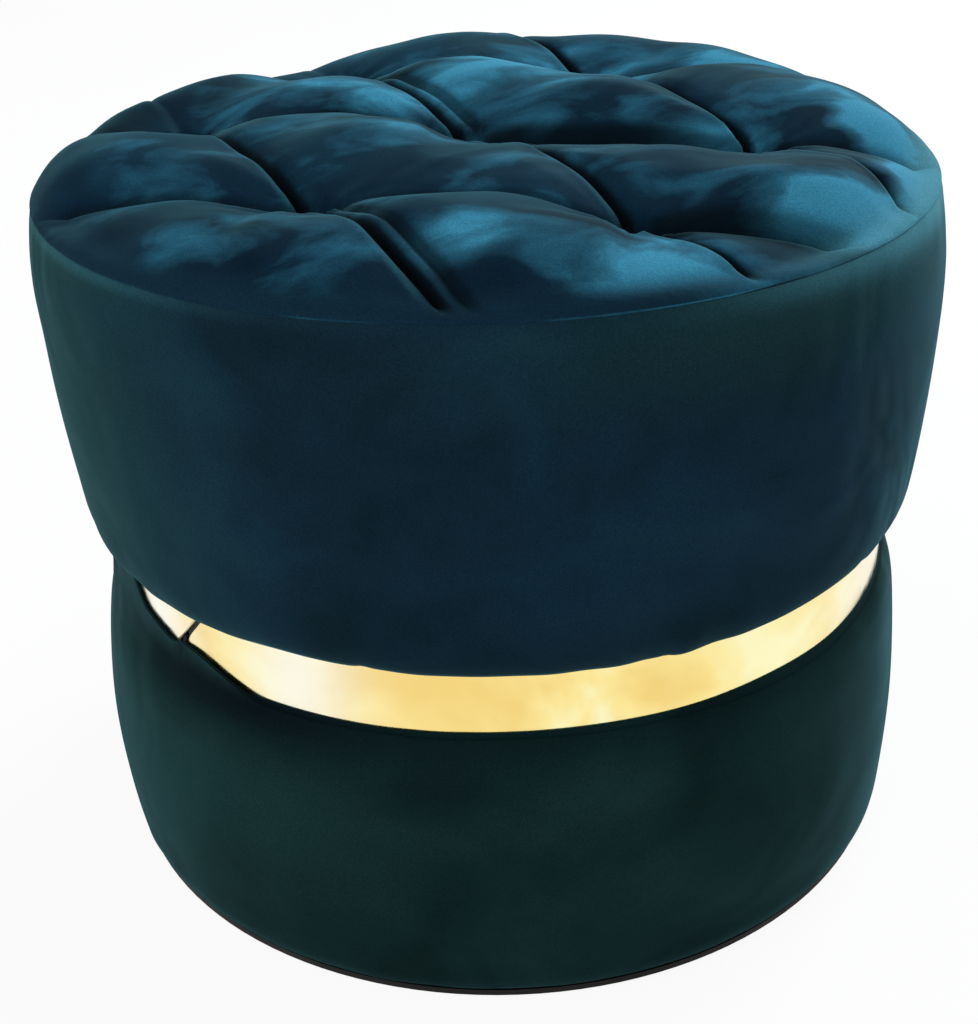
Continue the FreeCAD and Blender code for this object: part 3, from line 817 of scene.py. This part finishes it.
def seat_shape(flat):
    """Where each point of the flat velvet lies on the tufted seat, and its painted sheen, highlight and
    shade.
    """
    reach = np.hypot(flat[:, 0], flat[:, 1])
    to_right = flat[:, 0] / np.maximum(reach, 1e-6)
    to_back = flat[:, 1] / np.maximum(reach, 1e-6)
    radius = np.interp(reach, profile_along, profile_radius)
    height = np.interp(reach, profile_along, profile_height)
    slope_r = np.gradient(profile_radius, profile_along)
    slope_z = np.gradient(profile_height, profile_along)
    out_r = -np.interp(reach, profile_along, slope_z)
    out_z = np.interp(reach, profile_along, slope_r)
    to_rim = ease(reach, pattern_radius - rim_zone, pattern_radius)
    at_seam = ease(reach, pattern_radius - seam_zone, pattern_radius)

    to_tufts = np.hypot(flat[:, None, 0] - tufts[None, :, 0], flat[:, None, 1] - tufts[None, :, 1])
    nearest = to_tufts.min(1)
    drawn = np.clip(1 - nearest / tuft_reach, 0, 1) ** 1.7
    pit = 1 - ease(nearest, pit_radius, pit_radius + pit_wall)
    across_grid = np.linalg.solve(np.stack([row_step, slant_step], -1), (flat - middle_tuft).T)
    swell = puff_swell * np.abs(np.sin(np.pi * across_grid[0]) * np.sin(np.pi * across_grid[1]))
    drop = tuft_depth * drawn + pit_depth * pit - swell * (1 - to_rim)

    # Painted shade in the tuft pits and the tucked pleats, and a painted highlight on the pleat lips.
    shade = 0.8 * pit
    lip = np.zeros(len(flat))
    valley = np.zeros(len(flat))
    crease = np.zeros(len(flat))
    fade = (1 - at_seam) * (1 - 0.6 * pit)
    for start, step, depths, sharps, seconds, bend in folds:
        place, away = fold_place(flat, start, step, len(depths) - 2, bend)
        depth = on_stretches(depths, place)
        settled = ease(depth, 8.0, 14.0) * (away < 0)
        side_reach = fold_reach + (near_side_reach - fold_reach) * settled
        side = np.clip(1 - np.abs(away) / side_reach, 0, 1) ** (2.2 - 0.5 * settled)
        valley = np.maximum(valley, depth * side * (1 - 0.45 * to_rim))
        close = np.clip(1 - np.abs(away) / fold_reach, 0, 1) ** 2.2
        crease = np.maximum(crease, depth * close * (1 - at_seam))
        for sharps_here, middle in ((sharps, 0.0), (seconds, second_pleat)):
            sharp = on_stretches(sharps_here, place) * fade
            beside = away - middle
            wide = np.where(beside > 0, 1.5, 1.0) * pleat_half_width
            drop += pleat_depth * sharp * np.exp(-(beside / wide) ** 2)
            drop += 1.0 * sharp * np.exp(-((beside - 5.0) / 3.5) ** 2)
            drop -= 0.7 * sharp * np.exp(-((beside + 4.5) / 3.0) ** 2)
            tucked = np.minimum(1.2 * sharp, 1.0) * np.exp(-((beside - 1.3) / 3.2) ** 4)
            shade = np.maximum(shade, tucked)
            lip = np.maximum(lip, 0.35 * sharp * np.exp(-((beside + 4.2) / 1.6) ** 2))
    drop += valley * (1 - 0.7 * drawn) * (1 - at_seam)

    dice = np.random.default_rng(41)
    for length in (150.0, 110.0, 82.0, 64.0, 50.0):
        lean = dice.uniform(0, 2 * np.pi)
        phase = dice.uniform(0, 2 * np.pi)
        wave = np.cos(2 * np.pi * (flat @ [math.cos(lean), math.sin(lean)]) / length + phase)
        drop += 0.5 * wave * (1 - at_seam)
    for tuft in tufts:
        from_tuft = flat - tuft
        away = np.hypot(from_tuft[:, 0], from_tuft[:, 1])
        around = np.arctan2(from_tuft[:, 1], from_tuft[:, 0])
        fan = sum(np.cos(n * around + dice.uniform(0, 2 * np.pi)) for n in (7, 9, 12, 15)) / 2
        drop += 0.5 * fan * np.exp(-np.maximum(away - 16.0, 0) / 14.0) * (1 - pit)

    bearing = np.degrees(np.arctan2(to_right, -to_back))
    flatter = 5.6 * np.exp(-((bearing + 134.0) / 22.0) ** 2)
    flatter = flatter * ease(reach, pattern_radius - 130.0, pattern_radius - rim_zone)
    fuller = (2.0 * np.maximum(to_back, 0) ** 3 - 1.0 - to_right) * to_rim - flatter
    fuller = fuller * (1 - at_seam)
    radius = radius - drop * out_r + rim_lean(to_right) * to_rim + 0.4 * at_seam
    height = height - drop * out_z + fuller
    points = np.stack([radius * to_right, radius * to_back, height], -1)

    # Painted sheen from the nap spots; painted shade in the fold valleys where that sheen is weak and in
    # the spots below zero; painted shade where the cloth turns down the side, left and front; and a painted
    # highlight along the right rim.
    painted_light = seat_nap_sheen(flat)
    in_crease = 0.85 * ease(crease, 7.5, 13.5) * (1 - np.clip(0.5 * painted_light, 0, 1))
    shade = np.max([shade, in_crease, np.clip(-painted_light, 0, 1)], axis=0)
    side_shade = ease(reach, pattern_radius - 18.0, pattern_radius - 4.0) * (1 - ease(to_right, 0.3, 0.75))
    rim_highlight = 0.8 * ease(reach, pattern_radius - 24.0, pattern_radius - 2.0) * ease(to_right, 0.5, 0.85)
    return points, {
        "nap_sheen": painted_light,
        "fold_shade": shade,
        "lip_highlight": lip,
        "side_shade": side_shade,
        "rim_highlight": rim_highlight,
    }


def seat_mesh():
    """The tufted velvet down to its seam, closed below where the foam rests on the seat board."""
    made = geometry.delaunay_2d_cdt([Vector(p) for p in pattern_points()], [], [], 0, 1e-4)
    flat = np.array([tuple(v) for v in made[0]])
    faces = [tuple(f) for f in made[2]]
    points, looks = seat_shape(flat)
    rim = [None] * columns_round
    for index, sources in enumerate(made[3]):
        for source in sources:
            if source < columns_round:
                rim[source] = index
    under = [
        (seam_radius + 0.2, seam_height - 0.5),
        (seam_radius - 1.2, seam_height - 1.6),
        (frame_radius + 15.0, board_top + 0.6),
        (frame_radius - 40.0, board_top + 0.4),
    ]
    turn = np.linspace(-np.pi, np.pi, columns_round, endpoint=False)
    rings = [rim]
    for radius, height in under:
        first = len(points)
        if radius > frame_radius:
            radius = radius + rim_lean(np.sin(turn))
        ring = np.stack([radius * np.sin(turn), -radius * np.cos(turn), height + 0 * turn], -1)
        points = np.vstack([points, ring])
        rings.append(list(range(first, first + columns_round)))
    for upper, lower in zip(rings, rings[1:]):
        for k in range(columns_round):
            n = (k + 1) % columns_round
            faces.append((upper[k], lower[k], lower[n], upper[n]))
    faces.append(tuple(rings[-1][::-1]))
    return points, faces, looks


# The seat is the same cloth as the drums, given bluer tones as painted sheen of the light on its top.
seat_velvet = velvet_finish(
    "velvet_seat", (0.0024, 0.0105, 0.022), (0.0042, 0.022, 0.045), (0.008, 0.045, 0.083), seat_sheen_and_shade=True)
seat_points, seat_faces, seat_looks = seat_mesh()
seat = make_piece("tufted_seat_velvet", seat_points, seat_faces, seat_velvet, "velvet")
set_looks(seat, seat_looks)
joining_angle = math.radians(40)
weave = bmesh.new()
weave.from_mesh(seat.data)
bmesh.ops.join_triangles(
    weave, faces=[f for f in weave.faces if len(f.verts) == 3],
    angle_face_threshold=joining_angle, angle_shape_threshold=joining_angle)
weave.to_mesh(seat.data)
weave.free()
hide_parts("seat_cover", "seat_foam")


# Tuft buttons, twines and toggles
# Each tuft is held by a velvet-covered button. Waxed twine runs from its shank through the foam and the
# seat board to a plastic toggle, and is knotted there.
button_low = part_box("tuft_buttons")[0].z / MM
button_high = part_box("tuft_buttons")[1].z / MM
button_radius = 9.0
button_columns = 40


def twine_finish():
    material, tree, shader, place = start_finish("twine")
    strands = clouds(tree, place, 0.7, (1.0, 1.0, 3.0), detail=4.0)
    colour = tones(tree, strands, (0.3, (0.5, 0.44, 0.34)), (0.7, (0.8, 0.74, 0.62)))
    tree.links.new(colour, shader.inputs["Base Color"])
    tree.links.new(relief(tree, strands, 0.2), shader.inputs["Normal"])
    shader.inputs["Roughness"].default_value = 0.6
    return material


def toggle_finish():
    material, tree, shader, place = start_finish("toggle_plastic")
    spark = clouds(tree, place, 0.6, detail=2.0)
    tree.links.new(tones(tree, spark, (0.3, grey(0.05)), (0.7, grey(0.1))), shader.inputs["Base Color"])
    tree.links.new(relief(tree, spark, 0.05), shader.inputs["Normal"])
    shader.inputs["Roughness"].default_value = 0.45
    return material


def button_mesh():
    """Covered buttons: a domed top, a rounded edge and cloth gathered under it."""
    section = through([
        (0.0, button_high),
        (button_radius * 0.5, button_high - 0.9),
        (button_radius * 0.88, button_high - 2.7),
        (button_radius, button_high - 3.6),
        (button_radius * 0.92, button_low + 0.7),
        (button_radius * 0.5, button_low),
        (0.0, button_low),
    ], 0.9)[1:-1]
    points = []
    faces = []
    turn = np.linspace(0, 2 * np.pi, button_columns, endpoint=False)
    for tuft in tufts:
        first = len(points)
        for radius, height in section:
            below = ease(button_high - 3.0 - height, 0.0, 2.0)
            gathered = radius * (1 + 0.03 * below * np.cos(13 * turn))
            x = tuft[0] + gathered * np.cos(turn)
            y = tuft[1] + gathered * np.sin(turn)
            points.extend(np.stack([x, y, height + 0 * turn], -1))
        for row in range(len(section) - 1):
            here = first + row * button_columns
            there = here + button_columns
            for k in range(button_columns):
                n = (k + 1) % button_columns
                faces.append((here + k, there + k, there + n, here + n))
        faces.append(tuple(first + k for k in range(button_columns)))
        last = first + (len(section) - 1) * button_columns
        faces.append(tuple(last + k for k in range(button_columns))[::-1])
    return np.array(points), faces


covered_buttons = make_piece("covered_buttons", *button_mesh(), upper_velvet, "velvet")
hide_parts("tuft_buttons")
dress(twine_finish(), "twine", "tuft_twines")
dress(toggle_finish(), "toggle_plastic", "twine_toggles")


# Studio floor, light and camera
# A pale floor that shows white and keeps a soft shadow, a broad daylight softbox behind on the right,
# a weaker one in front on the left, and the camera close in front, a little above the seat.
floor_whiteness = 0.92


def floor_finish():
    material, tree, shader, place = start_finish("studio_floor")
    mottle = clouds(tree, place, 400.0, detail=2.0)
    tree.links.new(tones(tree, mottle, (0.3, grey(0.86)), (0.7, grey(0.9))), shader.inputs["Base Color"])
    shader.inputs["Roughness"].default_value = 0.9
    shader.inputs["Specular IOR Level"].default_value = 0.0
    rays = tree.nodes.new("ShaderNodeLightPath")
    direct = tree.nodes.new("ShaderNodeMath")
    direct.operation = "MULTIPLY"
    direct.inputs[1].default_value = floor_whiteness
    tree.links.new(rays.outputs["Is Camera Ray"], direct.inputs[0])
    share = tree.nodes.new("ShaderNodeMath")
    share.operation = "MAXIMUM"
    tree.links.new(direct.outputs["Value"], share.inputs[0])
    tree.links.new(rays.outputs["Is Glossy Ray"], share.inputs[1])
    white = tree.nodes.new("ShaderNodeEmission")
    mix = tree.nodes.new("ShaderNodeMixShader")
    tree.links.new(share.outputs["Value"], mix.inputs["Fac"])
    tree.links.new(shader.outputs["BSDF"], mix.inputs[1])
    tree.links.new(white.outputs["Emission"], mix.inputs[2])
    tree.links.new(mix.outputs["Shader"], tree.nodes["Material Output"].inputs["Surface"])
    return material


floor_half = 8.0
floor_mesh = bpy.data.meshes.new("studio_floor")
floor_corners = [(floor_half * x, floor_half * y, 0.0) for x, y in ((-1, -1), (1, -1), (1, 1), (-1, 1))]
floor_mesh.from_pydata(floor_corners, [], [(0, 1, 2, 3)])
floor_mesh.materials.append(floor_finish())
floor = bpy.data.objects.new("studio_floor", floor_mesh)
bpy.context.scene.collection.objects.link(floor)

world = bpy.data.worlds.new("studio_world")
world.use_nodes = True
bpy.context.scene.world = world
sky = world.node_tree.nodes["Background"]
world_rays = world.node_tree.nodes.new("ShaderNodeLightPath")
world_tone = blend_colours(world.node_tree, world_rays.outputs["Is Camera Ray"], grey(0.45), grey(1.0))
world.node_tree.links.new(world_tone, sky.inputs["Color"])


def softbox(name, place, target, width, height, power, colour):
    lamp = bpy.data.lights.new(name, "AREA")
    lamp.shape = "RECTANGLE"
    lamp.size = width
    lamp.size_y = height
    lamp.energy = power
    lamp.color = colour
    holder = bpy.data.objects.new(name, lamp)
    bpy.context.scene.collection.objects.link(holder)
    holder.location = place
    holder.rotation_euler = (Vector(target) - Vector(place)).to_track_quat("-Z", "Y").to_euler()


seat_centre = (0.0, 0.0, 0.3)
softbox("window_light", (1.3, 1.5, 1.5), seat_centre, 1.6, 1.4, 55.0, (0.86, 0.95, 1.0))
softbox("front_fill", (-1.6, -1.6, 1.3), seat_centre, 1.6, 1.6, 22.0, (1.0, 0.98, 0.95))

camera_distance = 0.7533
camera_height = 0.5405
camera_down = math.radians(27.73)
camera_left = 0.0065
camera_roll = math.radians(-1.92)
focal_pixels = 1644.0
image_height = 1024.0
camera_data = bpy.data.cameras.new("camera")
camera_data.sensor_width = 36.0
camera_data.lens = camera_data.sensor_width * focal_pixels / image_height
camera = bpy.data.objects.new("camera", camera_data)
bpy.context.scene.collection.objects.link(camera)
tilt = Euler((math.pi / 2 - camera_down, 0.0, camera_left)).to_matrix()
aim = tilt @ Matrix.Rotation(camera_roll, 3, "Z")
camera.matrix_world = Matrix.Translation((0.0, -camera_distance, camera_height)) @ aim.to_4x4()
bpy.context.scene.camera = camera
bpy.context.scene.view_settings.view_transform = "Standard"
